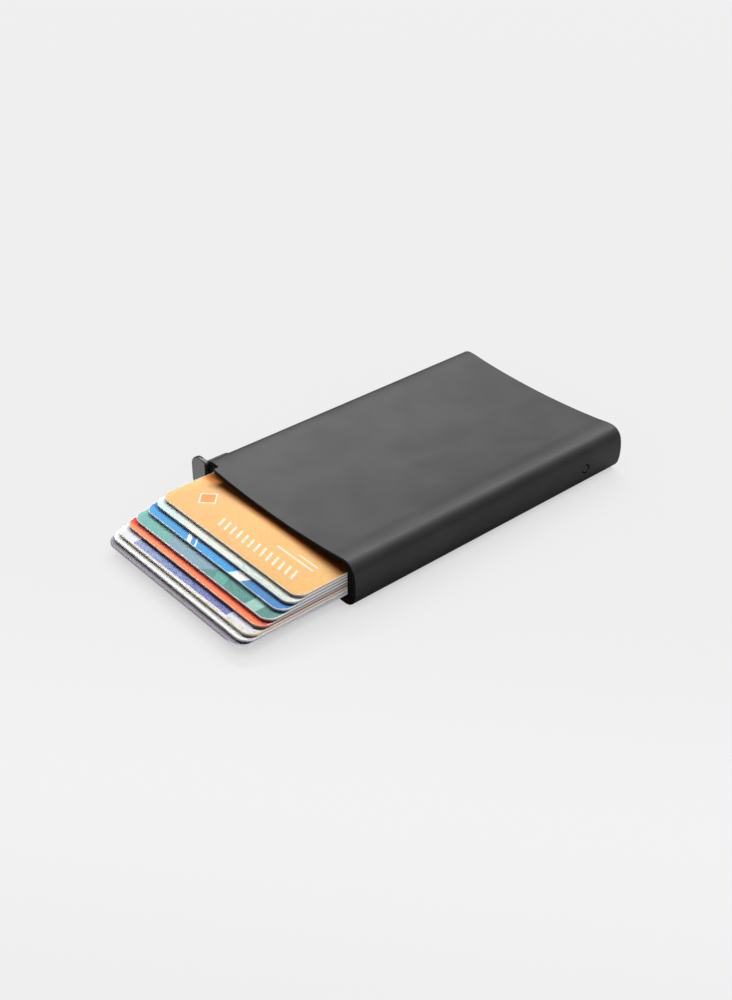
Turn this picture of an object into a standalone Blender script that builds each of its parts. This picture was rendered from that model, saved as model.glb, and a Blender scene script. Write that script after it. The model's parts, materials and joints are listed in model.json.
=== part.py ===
"""Aluminium card holder: an extruded sleeve that holds eight cards and fans
them out with a thumb slider, a finger arm and a stepped lever.

Units are metres. All the constants below are millimetres, in the sleeve's own
frame: X across the width (thumb slider on the -X side), Y along the length
from the mouth (Y = 0) to the closed end, Z up from the table. mm() moves them
to the part's frame, whose origin is the bottom centre of the whole object.
"""

import math
import bpy
import bmesh
from mathutils import Matrix

# ---------------------------------------------------------------- dimensions
SLEEVE_L = 92.0          # length of the extruded sleeve
SLEEVE_W = 60.4          # width over the bulged sides
SLEEVE_T = 12.4          # thickness at the crests beside the dished faces
WALL = 1.2               # extrusion wall
DISH = 1.42              # depth of the dished top and bottom at mid width
DISH_K = 0.0021          # curvature of the dish, z = K x^2
DISH_X = 21.0            # where the dish starts to blend into the crest
CORNER_R = 3.6           # corner radius of the extrusion
SIDE_R = 15.2            # radius of the bulged side
LAND = 0.5               # flat land on each crest, the feet of the sleeve

CARD_L = 85.60           # ISO ID-1 card
CARD_W = 53.98
CARD_T = 0.76
CARD_R = 3.18
CARD_PITCH = 0.80        # one card level to the next
STACK_Z = 2.75           # underside of the lowest card level
# front edge of each card with the fan out, top card first
CARD_Y = (-14.3, -16.6, -19.2, -22.8, -25.0, -27.9, -29.4, -30.7)
CARD_Y_IN = 0.5          # front edge of every card when the fan is closed
CARD_NAMES = ("card_1_orange", "card_2_pale", "card_3_blue", "card_4_teal",
              "card_5_coral", "card_6_violet", "card_7_white", "card_8_grey")

SLIDE_TRAVEL = 20.6      # travel of the thumb slider
WINDOW_Y = 32.6          # far end of the window in the -X wall
WINDOW_Z = (0.9, 11.5)
WINDOW_R = 1.4
NOTCH_X = -24.0          # the mouth is notched from here out to the -X side
NOTCH_Y = 1.5

TAB_Y = 0.8              # front of the thumb flange with the fan out
TAB_T = 1.2
TAB_X = (-35.1, -29.15)
TAB_Z = (1.0, 11.4)
TAB_R = 3.3              # outer corners of the flange
TAB_CROWN = 0.45         # fall of the flange's edge towards the sleeve
PLATE_X = (-30.55, -29.95)   # side plate, outside the sleeve's wall
PLATE_Z = (1.4, 11.0)
PLATE_R = 3.2
TAB_END = 10.4           # far end of the side plate
BOSS_X = -28.5           # inner face of the boss that reaches the carriage
BOSS_Y = (3.4, 9.5)
BOSS_Z = (2.2, 10.2)
RIVET_YZ = ((7.4, 3.8), (7.4, 8.6))
RIVET_R = 0.6

STRIP_X = (-28.45, -27.35)   # carriage strip beside the cards
STRIP_Z = (3.0, 9.4)
ARM_Y = 68.75            # front of the finger arm with the fan out
ARM_T = 1.1
ARM_X = -3.4             # tip of the arm
ARM_Z = (3.4, 7.2)

PIVOT = (25.2, 87.6)     # lever pin
PIN_R = 0.80
LEVER_H = 0.95           # half width of the lever's blades
LEVER_SWING = 38.0       # degrees from closed to fan out
LEVER_CLEAR = 0.45       # least gap kept between blade tips and cards
HUB_R = 1.5
CAP_Y = (90.7, 91.8)     # plate of the end cap
LEG_X = (27.30, 28.45)   # leg of the end cap along the +X wall
LEG_Y = 75.4
LEG_Z = (3.4, 8.6)
GUIDE_Y = (0.1, 74.8)    # side guide along the +X wall
GUIDE_X = 27.2           # its face towards the cards
PEG_YZ = (78.4, 5.9)
PEG_HOLE_R = 1.32
PEG_R = 0.98
PEG_X = (27.45, 30.0)    # its outer end stands just under the wall's surface

PAD_Y = (3.6, 12.6)      # felt brake pads under the top wall
PAD_X = (4.5, 18.5)
PAD_FACE = 9.26

# bottom centre of the whole object, in the sleeve's frame
ORIGIN_X = (TAB_X[0] + SLEEVE_W / 2) / 2
ORIGIN_Y = (min(CARD_Y) + SLEEVE_L) / 2


def mm(x, y, z):
    """sleeve frame in millimetres -> part frame in metres"""
    return ((x - ORIGIN_X) * 0.001, (y - ORIGIN_Y) * 0.001, z * 0.001)


# ------------------------------------------------------------------- scene
for ob in list(bpy.data.objects):
    bpy.data.objects.remove(ob, do_unlink=True)

parts = bpy.data.collections.new("card_holder")
tools = bpy.data.collections.new("cutters")
bpy.context.scene.collection.children.link(parts)
bpy.context.scene.collection.children.link(tools)


def material(name, colour, roughness, metallic=0.0):
    m = bpy.data.materials.new(name)
    m.use_nodes = True
    b = m.node_tree.nodes["Principled BSDF"]
    b.inputs["Base Color"].default_value = (*colour, 1.0)
    b.inputs["Roughness"].default_value = roughness
    b.inputs["Metallic"].default_value = metallic
    m.diffuse_color = (*colour, 1.0)
    return m


ANODISED = material("anodised_aluminium", (0.13, 0.13, 0.135), 0.42, 0.9)
TAB_METAL = material("tab_aluminium", (0.17, 0.17, 0.17), 0.42, 0.9)
BLACK = material("black_plastic", (0.012, 0.012, 0.012), 0.5)
STEEL = material("steel", (0.55, 0.55, 0.56), 0.3, 1.0)
FELT = material("felt", (0.03, 0.03, 0.035), 0.95)
CARD_COLOURS = ((0.93, 0.60, 0.24), (0.76, 0.79, 0.76), (0.14, 0.40, 0.70),
                (0.16, 0.30, 0.31), (0.98, 0.22, 0.08), (0.19, 0.22, 0.40),
                (0.82, 0.83, 0.82), (0.28, 0.24, 0.27))

# world matrices that lay a flat outline (u, v) and its thickness along an axis
ALONG_Z = Matrix.Identity(3)
ALONG_Y = Matrix(((1, 0, 0), (0, 0, -1), (0, 1, 0)))     # u = X, v = Z
ALONG_X = Matrix(((0, 0, 1), (1, 0, 0), (0, 1, 0)))      # u = Y, v = Z


def prism(name, loops, turn, at, thick, mat=None, where=None):
    """flat outline(s) in millimetres, filled and extruded by `thick`, with
    its mid plane at `at` (part frame); returns a mesh object"""
    cu = bpy.data.curves.new(name + "_outline", "CURVE")
    cu.dimensions = "2D"
    cu.fill_mode = "BOTH"
    cu.extrude = thick * 0.0005
    for loop in loops:
        sp = cu.splines.new("POLY")
        sp.points.add(len(loop) - 1)
        for p, (u, v) in zip(sp.points, loop):
            p.co = (u * 0.001, v * 0.001, 0.0, 1.0)
        sp.use_cyclic_u = True
    tmp = bpy.data.objects.new(name + "_outline", cu)
    bpy.context.scene.collection.objects.link(tmp)
    dg = bpy.context.evaluated_depsgraph_get()
    me = bpy.data.meshes.new_from_object(tmp.evaluated_get(dg))
    me.name = name
    bpy.data.objects.remove(tmp, do_unlink=True)
    bm = bmesh.new()
    bm.from_mesh(me)
    bmesh.ops.remove_doubles(bm, verts=bm.verts[:], dist=1e-7)
    bmesh.ops.recalc_face_normals(bm, faces=bm.faces[:])
    bm.to_mesh(me)
    bm.free()
    ob = bpy.data.objects.new(name, me)
    (where or parts).objects.link(ob)
    ob.matrix_world = Matrix.Translation(at) @ turn.to_4x4()
    if mat:
        me.materials.clear()
        me.materials.append(mat)
    return ob


def block(name, x, y, z, mat=None, where=None):
    """box between two corners, from the cube primitive"""
    me = bpy.data.meshes.new(name)
    bm = bmesh.new()
    bmesh.ops.create_cube(bm, size=1.0)
    bmesh.ops.scale(bm, verts=bm.verts[:], vec=((x[1] - x[0]) * 0.001,
                                               (y[1] - y[0]) * 0.001,
                                               (z[1] - z[0]) * 0.001))
    bm.to_mesh(me)
    bm.free()
    ob = bpy.data.objects.new(name, me)
    (where or parts).objects.link(ob)
    ob.location = mm(sum(x) / 2, sum(y) / 2, sum(z) / 2)
    if mat:
        me.materials.append(mat)
    return ob


def rod(name, radius, length, turn, at, mat=None, where=None, sides=32):
    """round bar, from the cone primitive, along the turned Z axis"""
    me = bpy.data.meshes.new(name)
    bm = bmesh.new()
    bmesh.ops.create_cone(bm, cap_ends=True, cap_tris=False, segments=sides,
                          radius1=radius * 0.001, radius2=radius * 0.001,
                          depth=length * 0.001)
    bm.to_mesh(me)
    bm.free()
    ob = bpy.data.objects.new(name, me)
    (where or parts).objects.link(ob)
    ob.matrix_world = Matrix.Translation(at) @ turn.to_4x4()
    if mat:
        me.materials.append(mat)
    return ob


def boolean(ob, other, operation):
    m = ob.modifiers.new(operation.lower(), "BOOLEAN")
    m.operation = operation
    m.object = other
    m.solver = "EXACT"
    other.hide_render = True
    other.display_type = "WIRE"


def smooth(ob, angle=35.0):
    ob.data.shade_smooth()
    ob.data.set_sharp_from_angle(angle=math.radians(angle))


def bevel(ob, width, segments=2, angle=40.0):
    m = ob.modifiers.new("edges", "BEVEL")
    m.width = width * 0.001
    m.segments = segments
    m.limit_method = "ANGLE"
    m.angle_limit = math.radians(angle)
    m.use_clamp_overlap = True


def arc(cx, cy, r, a0, a1, n):
    return [(cx + r * math.cos(math.radians(a0 + (a1 - a0) * i / n)),
             cy + r * math.sin(math.radians(a0 + (a1 - a0) * i / n)))
            for i in range(n + 1)]


def rounded(u0, u1, v0, v1, radii, n=8):
    """rectangle with its own radius at each corner: (u1,v1), (u0,v1),
    (u0,v0), (u1,v0)"""
    pts = []
    for (cu, cv, a), r in zip(((u1, v1, 0), (u0, v1, 90), (u0, v0, 180),
                               (u1, v0, 270)), radii):
        if r < 0.02:
            pts.append((cu, cv))
            continue
        su = -r if a in (0, 270) else r
        sv = -r if a in (0, 90) else r
        pts += arc(cu + su, cv + sv, r, a, a + 90, n)
    return pts


# ------------------------------------------------------ section of the sleeve
SIDE_A = math.degrees(math.asin((SLEEVE_T / 2 - CORNER_R) / (SIDE_R - CORNER_R)))
CORNER_X = SLEEVE_W / 2 - SIDE_R + (SIDE_R - CORNER_R) * math.cos(math.radians(SIDE_A))


def dish_drop(x):
    """how far the dished face lies below the crest at distance x from the
    centre line"""
    x = abs(x)
    crest = CORNER_X - LAND
    if x >= crest:
        return 0.0
    if x <= DISH_X:
        return DISH - DISH_K * x * x
    # cubic blend from the dish to the level crest
    h = crest - DISH_X
    t = (x - DISH_X) / h
    p0, m0 = -(DISH - DISH_K * DISH_X ** 2), 2 * DISH_K * DISH_X * h
    return -((2 * t ** 3 - 3 * t ** 2 + 1) * p0 + (t ** 3 - 2 * t ** 2 + t) * m0)


def section(inset):
    """outline (x, z) of the sleeve, moved inwards by `inset`"""
    crest = CORNER_X - LAND
    flat = [DISH_X * i / 9 for i in range(10)]
    flat += [DISH_X + (crest - DISH_X) * i / 5 for i in range(1, 6)]
    top = [(x, SLEEVE_T - inset - dish_drop(x)) for x in flat]
    right = top + arc(CORNER_X, SLEEVE_T - CORNER_R, CORNER_R - inset,
                      90, SIDE_A, 9)
    right += arc(SLEEVE_W / 2 - SIDE_R, SLEEVE_T / 2, SIDE_R - inset,
                 SIDE_A, -SIDE_A, 8)[1:-1]
    right += [(x, SLEEVE_T - z) for x, z in
              (top + arc(CORNER_X, SLEEVE_T - CORNER_R, CORNER_R - inset,
                         90, SIDE_A, 9))[::-1]]
    left = [(-x, z) for x, z in right[::-1]]
    return right + left[1:-1]


# ------------------------------------------------------------------- sleeve
sleeve = prism("sleeve", [section(0.0), section(WALL)], ALONG_Y,
               mm(0, SLEEVE_L / 2, 0), SLEEVE_L, ANODISED)
boolean(sleeve, prism("cut_window",
                      [rounded(-2, WINDOW_Y, *WINDOW_Z, (WINDOW_R, 0, 0, WINDOW_R), 5)],
                      ALONG_X, mm(-30, 0, 0), 6, where=tools), "DIFFERENCE")
boolean(sleeve, block("cut_notch", (-33, NOTCH_X), (-2, NOTCH_Y), (-2, 15),
                      where=tools), "DIFFERENCE")
boolean(sleeve, rod("cut_peg_hole", PEG_HOLE_R, 6, ALONG_X,
                    mm(SLEEVE_W / 2, *PEG_YZ), where=tools), "DIFFERENCE")
smooth(sleeve, 25)

# ------------------------------------------------------------------ end cap
cap = prism("end_cap", [section(WALL + 0.12)], ALONG_Y,
            mm(0, sum(CAP_Y) / 2, 0), CAP_Y[1] - CAP_Y[0], BLACK)
# two lugs that hold the lever pin, above and below the card levels
for tag, z0, z1 in (("low", 1.50, 2.55), ("high", 9.35, 10.95)):
    lug = [(PIVOT[0] + 1.4, CAP_Y[0] + 0.4), (PIVOT[0] - 1.4, CAP_Y[0] + 0.4)]
    lug += arc(PIVOT[0], PIVOT[1], 1.4, 180, 360, 12)
    piece = prism("lug_" + tag, [lug], ALONG_Z, (0, 0, 0), z1 - z0, where=tools)
    piece.location = mm(0, 0, (z0 + z1) / 2)
    boolean(cap, piece, "UNION")
# a leg along the +X wall that carries the locking peg
boolean(cap, block("cap_leg", LEG_X, (LEG_Y, CAP_Y[0] + 0.4), LEG_Z,
                   where=tools), "UNION")
boolean(cap, rod("cut_lug_holes", PIN_R + 0.02, 20, ALONG_Z,
                 mm(PIVOT[0], PIVOT[1], 6.2), where=tools), "DIFFERENCE")
boolean(cap, rod("cut_leg_hole", PEG_R + 0.02, 6, ALONG_X,
                 mm(sum(LEG_X) / 2, *PEG_YZ), where=tools), "DIFFERENCE")

peg = rod("locking_peg", PEG_R, PEG_X[1] - PEG_X[0], ALONG_X,
          mm(sum(PEG_X) / 2, *PEG_YZ), STEEL)
bevel(peg, 0.12, 2)
smooth(peg)

pin = rod("lever_pin", PIN_R, 9.1, ALONG_Z, mm(PIVOT[0], PIVOT[1], 6.18), STEEL)
bevel(pin, 0.1, 1)
smooth(pin)

# --------------------------------------------------------------- side guide
# it fills the space between the cards and the wall's inner face
bulge = [(x, z) for x, z in section(WALL + 0.15) if x > GUIDE_X + 0.1]
guide_z = (SLEEVE_T / 2 - abs(bulge[0][1] - SLEEVE_T / 2),
           SLEEVE_T / 2 + abs(bulge[0][1] - SLEEVE_T / 2))
guide = prism("side_guide",
              [bulge + [(GUIDE_X, guide_z[0]), (GUIDE_X, guide_z[1])]],
              ALONG_Y, mm(0, sum(GUIDE_Y) / 2, 0), GUIDE_Y[1] - GUIDE_Y[0], BLACK)
smooth(guide)

# ---------------------------------------------------------- felt brake pads
for tag, s in (("left", -1), ("right", 1)):
    xs = [PAD_X[0] + (PAD_X[1] - PAD_X[0]) * i / 8 for i in range(9)]
    top = [(s * x, SLEEVE_T - WALL - 0.04 - dish_drop(x)) for x in xs]
    out = [(s * PAD_X[1], PAD_FACE), (s * PAD_X[0], PAD_FACE)]
    prism("brake_pad_" + tag, [top + out], ALONG_Y,
          mm(0, sum(PAD_Y) / 2, 0), PAD_Y[1] - PAD_Y[0], FELT)

# ----------------------------------------------------------- slider carriage
# strip beside the cards, with the finger arm turned in behind them
SLIDER_AT = ((STRIP_X[0] + STRIP_X[1]) / 2, 30.0)
strip = prism("slider_carriage",
              [rounded(1.7 - 30, ARM_Y + ARM_T - 30.3, STRIP_Z[0], STRIP_Z[1],
                       (0, 0.8, 0.8, 0), 5)],
              ALONG_X, mm(SLIDER_AT[0], SLIDER_AT[1], 0),
              STRIP_X[1] - STRIP_X[0], BLACK)
arm = [(STRIP_X[0] + 0.3, ARM_Y + ARM_T), (STRIP_X[0] + 0.3, ARM_Y - 2.5),
       (STRIP_X[1] - 0.2, ARM_Y - 2.5)]
arm += arc(STRIP_X[1] + 2.3, ARM_Y - 2.5, 2.5, 180, 90, 8)[1:]
arm += [(ARM_X - ARM_T / 2, ARM_Y)]
arm += arc(ARM_X - ARM_T / 2, ARM_Y + ARM_T / 2, ARM_T / 2, -90, 90, 10)[1:]
arm_piece = prism("carriage_arm", [arm], ALONG_Z, mm(0, 0, sum(ARM_Z) / 2),
                  ARM_Z[1] - ARM_Z[0], where=tools)
boolean(strip, arm_piece, "UNION")

# ---------------------------------------------------------------- thumb tab
mid_z = SLEEVE_T / 2
flange = [(TAB_X[1], TAB_Z[1] - TAB_CROWN),
          ((TAB_X[1] + TAB_X[0] + TAB_R) / 2, TAB_Z[1] - 0.28 * TAB_CROWN)]
flange += arc(TAB_X[0] + TAB_R, TAB_Z[1] - TAB_R, TAB_R, 90, 180, 10)
flange += [(x, 2 * mid_z - z) for x, z in flange[::-1]]
tab = prism("thumb_tab", [flange], ALONG_Y, mm(0, TAB_Y + TAB_T / 2, 0),
            TAB_T, TAB_METAL)
# side plate, bent off the flange with a small radius
bend = arc(PLATE_X[0] - 0.6, TAB_Y + TAB_T + 0.6, 0.6, -90, 0, 5)
plan = [(PLATE_X[1], TAB_END)] + [(PLATE_X[0], TAB_END)] + bend[::-1]
plan += [(PLATE_X[0] - 0.6, TAB_Y + 0.4), (PLATE_X[1], TAB_Y + 0.4)]
plate = prism("tab_plate", [plan], ALONG_Z, mm(0, 0, sum(PLATE_Z) / 2),
              PLATE_Z[1] - PLATE_Z[0], where=tools)
shape = prism("tab_plate_outline",
              [rounded(-1.0, TAB_END, *PLATE_Z, (PLATE_R, 0, 0, PLATE_R), 8)],
              ALONG_X, mm(-30, 0, 0), 6, where=tools)
boolean(plate, shape, "INTERSECT")
boolean(tab, plate, "UNION")
# boss that reaches through the window to the carriage
boolean(tab, prism("tab_boss",
                   [rounded(*BOSS_Y, *BOSS_Z, (1.2, 1.2, 1.2, 1.2), 5)],
                   ALONG_X, mm((PLATE_X[1] - 0.2 + BOSS_X) / 2, 0, 0),
                   BOSS_X - PLATE_X[1] + 0.2, where=tools), "UNION")
for i, (y, z) in enumerate(RIVET_YZ):
    boolean(tab, rod("cut_tab_rivet_%d" % i, RIVET_R + 0.02, 8, ALONG_X,
                     mm(-30.0, y, z), where=tools), "DIFFERENCE")
    boolean(strip, rod("cut_strip_rivet_%d" % i, RIVET_R + 0.02, 8, ALONG_X,
                       mm(-30.0, y, z), where=tools), "DIFFERENCE")
smooth(tab, 30)

for tag, (y, z) in zip(("lower", "upper"), RIVET_YZ):
    rivet = rod("tab_rivet_" + tag, RIVET_R, 2.4, ALONG_X,
                mm(-27.55 - 1.2, y, z), STEEL, sides=24)
    head = rod("rivet_head_" + tag, 1.1, 0.35, ALONG_X,
               mm(PLATE_X[0] - 0.23, y, z), where=tools, sides=24)
    neck = rod("rivet_neck_" + tag, RIVET_R, 1.1, ALONG_X,
               mm(-30.2, y, z), where=tools, sides=24)
    boolean(rivet, neck, "UNION")
    boolean(rivet, head, "UNION")

# ---------------------------------------------------------------- fan lever
# one blade for each card level; its reach sets how far that card is pushed
# while the lever swings, so the cards come out as a fan
SWING = math.radians(LEVER_SWING)


def reach(travel):
    best = 1e9
    for i in range(1, 41):
        t = i / 40
        best = min(best, (travel * t + LEVER_CLEAR) / math.sin(SWING * t))
    return best


def blade(r, n=10):
    """plan of the lever about its pin, along +u: round hub, straight sides,
    round tip at reach r"""
    a = math.degrees(math.asin(LEVER_H / HUB_R))
    return arc(0, 0, HUB_R, a, 360 - a, 28) + arc(r, 0, LEVER_H, -90, 90, n)


CARD_TRAVEL = [CARD_Y_IN - y for y in CARD_Y]
LEVER_TURN = Matrix.Rotation(math.pi + SWING, 3, "Z")
hub_z = (STACK_Z + 0.12, STACK_Z + 8 * CARD_PITCH - 0.05)
lever = prism("fan_lever",
              [blade(reach(CARD_TRAVEL[-1])),
               arc(0, 0, PIN_R + 0.06, 0, 348.75, 31)],
              LEVER_TURN, mm(PIVOT[0], PIVOT[1], sum(hub_z) / 2),
              hub_z[1] - hub_z[0], BLACK)
for i, travel in enumerate(CARD_TRAVEL[:-1]):
    # everything beyond this level's reach is cut away, from its floor up
    step = block("cut_step_%d" % (i + 1), (-0.5, 0.5), (-0.5, 0.5), (-0.5, 0.5),
                 where=tools)
    step.matrix_world = (Matrix.Translation(mm(*PIVOT, STACK_Z + (7 - i) * CARD_PITCH))
                         @ LEVER_TURN.to_4x4()
                         @ Matrix.Translation(((reach(travel) + 30.15) * 0.001,
                                               0, 0.005))
                         @ Matrix.Diagonal((60, 6, 10, 1)))
    boolean(lever, step, "DIFFERENCE")

# -------------------------------------------------------------------- cards
for i, name in enumerate(CARD_NAMES):
    z = STACK_Z + (7 - i) * CARD_PITCH + (CARD_PITCH - CARD_T) / 2 + CARD_T / 2
    paint = material(name.replace("card_", "print_"), CARD_COLOURS[i], 0.35)
    prism(name, [rounded(-CARD_W / 2, CARD_W / 2, -CARD_L / 2, CARD_L / 2,
                         (CARD_R,) * 4, 8)],
          ALONG_Z, mm(0, CARD_Y[i] + CARD_L / 2, z), CARD_T, paint)
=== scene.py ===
"""Looks of the aluminium card holder: finishes, detailed pieces, light, camera.

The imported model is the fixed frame, in metres. The lengths below are
millimetres in the sleeve's own frame (X across the width, Y along the length
from the mouth, Z up from the table), and mm() moves them to the part's frame.
"""

import json
import math

import bpy
import bmesh
from mathutils import Matrix, Vector

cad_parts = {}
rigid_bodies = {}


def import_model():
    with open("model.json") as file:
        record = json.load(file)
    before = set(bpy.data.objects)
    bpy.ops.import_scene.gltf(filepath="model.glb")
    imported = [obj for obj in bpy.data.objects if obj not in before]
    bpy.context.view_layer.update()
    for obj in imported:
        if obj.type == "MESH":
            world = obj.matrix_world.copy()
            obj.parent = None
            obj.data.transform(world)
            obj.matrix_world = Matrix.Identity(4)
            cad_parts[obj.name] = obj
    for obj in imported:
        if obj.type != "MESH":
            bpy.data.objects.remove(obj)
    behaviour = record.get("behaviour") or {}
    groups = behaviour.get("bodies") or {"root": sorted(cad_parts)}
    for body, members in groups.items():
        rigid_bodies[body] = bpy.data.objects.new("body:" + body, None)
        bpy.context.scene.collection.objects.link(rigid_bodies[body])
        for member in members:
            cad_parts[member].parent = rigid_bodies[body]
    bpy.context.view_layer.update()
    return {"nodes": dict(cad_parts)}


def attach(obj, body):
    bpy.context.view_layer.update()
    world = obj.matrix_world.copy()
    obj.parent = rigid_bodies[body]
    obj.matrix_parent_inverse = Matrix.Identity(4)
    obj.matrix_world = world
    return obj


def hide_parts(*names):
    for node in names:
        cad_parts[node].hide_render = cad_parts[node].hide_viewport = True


for ob in list(bpy.data.objects):
    bpy.data.objects.remove(ob, do_unlink=True)

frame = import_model()

# ---------------------------------------------------------------- dimensions
SLEEVE_L, SLEEVE_W, SLEEVE_T = 92.0, 60.4, 12.4
WALL = 1.2
DISH, DISH_K, DISH_X = 1.42, 0.0021, 21.0
CORNER_R, SIDE_R, LAND = 3.6, 15.2, 0.5

CARD_L, CARD_W, CARD_T, CARD_R = 85.60, 53.98, 0.76, 3.18
CARD_PITCH, STACK_Z = 0.80, 2.75
CARD_Y = (-14.3, -16.6, -19.2, -22.8, -25.0, -27.9, -29.4, -30.7)
CARD_NAMES = ("card_1_orange", "card_2_pale", "card_3_blue", "card_4_teal",
              "card_5_coral", "card_6_violet", "card_7_white", "card_8_grey")

WINDOW_Y, WINDOW_Z, WINDOW_R = 32.6, (0.9, 11.5), 1.4
NOTCH_X, NOTCH_Y = -24.0, 1.5
TAB_Y, TAB_T, TAB_R, TAB_CROWN = 0.8, 1.2, 3.3, 0.45
TAB_X, TAB_Z = (-35.1, -29.15), (1.0, 11.4)
PLATE_X, PLATE_Z, PLATE_R, TAB_END = (-30.55, -29.95), (1.4, 11.0), 3.2, 10.4
BOSS_X, BOSS_Y, BOSS_Z = -28.5, (3.4, 9.5), (2.2, 10.2)
RIVET_YZ, RIVET_R = ((7.4, 3.8), (7.4, 8.6)), 0.6
PIVOT, PIN_R = (25.2, 87.6), 0.80
CAP_Y = (90.7, 91.8)
LEG_X, LEG_Y, LEG_Z = (27.30, 28.45), 75.4, (3.4, 8.6)
PEG_YZ, PEG_HOLE_R, PEG_R, PEG_X = (78.4, 5.9), 1.32, 0.98, (27.45, 30.0)
PAD_Y, PAD_X, PAD_FACE = (3.6, 12.6), (4.5, 18.5), 9.26

ORIGIN_X = (TAB_X[0] + SLEEVE_W / 2) / 2
ORIGIN_Y = (min(CARD_Y) + SLEEVE_L) / 2


def mm(x, y, z):
    """sleeve frame in millimetres -> part frame in metres"""
    return Vector(((x - ORIGIN_X) * 0.001, (y - ORIGIN_Y) * 0.001, z * 0.001))


def tone(r, g, b):
    """0-255 screen colour -> linear colour"""
    return tuple((c / 255 / 12.92) if c <= 10.31 else ((c / 255 + 0.055) / 1.055) ** 2.4
                 for c in (r, g, b))


# ---------------------------------------------------------------- mesh tools
def arc(cx, cy, r, a0, a1, n):
    return [(cx + r * math.cos(math.radians(a0 + (a1 - a0) * i / n)),
             cy + r * math.sin(math.radians(a0 + (a1 - a0) * i / n)))
            for i in range(n + 1)]


def rounded(u0, u1, v0, v1, radii, n=14):
    """rectangle with its own radius at (u1,v1), (u0,v1), (u0,v0), (u1,v0)"""
    pts = []
    for (cu, cv, a), r in zip(((u1, v1, 0), (u0, v1, 90), (u0, v0, 180),
                               (u1, v0, 270)), radii):
        if r < 0.02:
            pts.append((cu, cv))
            continue
        su = -r if a in (0, 270) else r
        sv = -r if a in (0, 90) else r
        pts += arc(cu + su, cv + sv, r, a, a + 90, n)
    return pts


def new_object(name, bm):
    bmesh.ops.recalc_face_normals(bm, faces=bm.faces[:])
    me = bpy.data.meshes.new(name)
    bm.to_mesh(me)
    bm.free()
    ob = bpy.data.objects.new(name, me)
    bpy.context.scene.collection.objects.link(ob)
    return ob


def stack(name, loops):
    """closed solid through a list of point loops, each with as many points"""
    bm = bmesh.new()
    rings = [[bm.verts.new(p) for p in loop] for loop in loops]
    n = len(rings[0])
    for a, b in zip(rings, rings[1:]):
        for i in range(n):
            j = (i + 1) % n
            bm.faces.new((a[i], a[j], b[j], b[i]))
    bm.faces.new(rings[0][::-1])
    bm.faces.new(rings[-1])
    return new_object(name, bm)


def along_z(name, plan, z0, z1):
    return stack(name, [[mm(u, v, z) for u, v in plan] for z in (z0, z1)])


def along_y(name, plan, y0, y1):
    return stack(name, [[mm(u, y, v) for u, v in plan] for y in (y0, y1)])


def along_x(name, plan, x0, x1):
    return stack(name, [[mm(x, u, v) for u, v in plan] for x in (x0, x1)])


def turned_x(name, profile, y, z, sides=48):
    """solid of revolution about an axis along X; profile is (x, radius)"""
    bm = bmesh.new()
    rings = []
    for x, r in profile:
        if r < 1e-6:
            rings.append([bm.verts.new(mm(x, y, z))])
        else:
            rings.append([bm.verts.new(mm(x, y + r * math.cos(2 * math.pi * k / sides),
                                          z + r * math.sin(2 * math.pi * k / sides)))
                          for k in range(sides)])
    for a, b in zip(rings, rings[1:]):
        for k in range(sides):
            j = (k + 1) % sides
            if len(a) == 1:
                bm.faces.new((a[0], b[j], b[k]))
            elif len(b) == 1:
                bm.faces.new((a[k], a[j], b[0]))
            else:
                bm.faces.new((a[k], a[j], b[j], b[k]))
    return new_object(name, bm)


def boolean(ob, other, operation):
    """applies a Boolean and removes the cutter"""
    m = ob.modifiers.new("cut", "BOOLEAN")
    m.operation = operation
    m.object = other
    m.solver = "EXACT"
    dg = bpy.context.evaluated_depsgraph_get()
    me = bpy.data.meshes.new_from_object(ob.evaluated_get(dg))
    ob.modifiers.clear()
    old = ob.data
    ob.data = me
    bpy.data.meshes.remove(old)
    bpy.data.objects.remove(other, do_unlink=True)
    # slivers that the cut leaves would spoil the rounded edges
    bm = bmesh.new()
    bm.from_mesh(me)
    bmesh.ops.remove_doubles(bm, verts=bm.verts[:], dist=2e-6)
    bmesh.ops.dissolve_degenerate(bm, edges=bm.edges[:], dist=2e-6)
    bm.to_mesh(me)
    bm.free()


def soften(ob, width, segments=2, angle=32.0, slot=-1):
    """rounds the sharp edges and keeps the wide faces flat to the eye"""
    m = ob.modifiers.new("edges", "BEVEL")
    m.width = width * 0.001
    m.segments = segments
    m.limit_method = "ANGLE"
    m.angle_limit = math.radians(angle)
    m.use_clamp_overlap = False
    m.material = slot
    ob.data.shade_smooth()
    w = ob.modifiers.new("shading", "WEIGHTED_NORMAL")
    w.mode = "FACE_AREA_WITH_ANGLE"
    w.weight = 60
    w.keep_sharp = True


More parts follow.
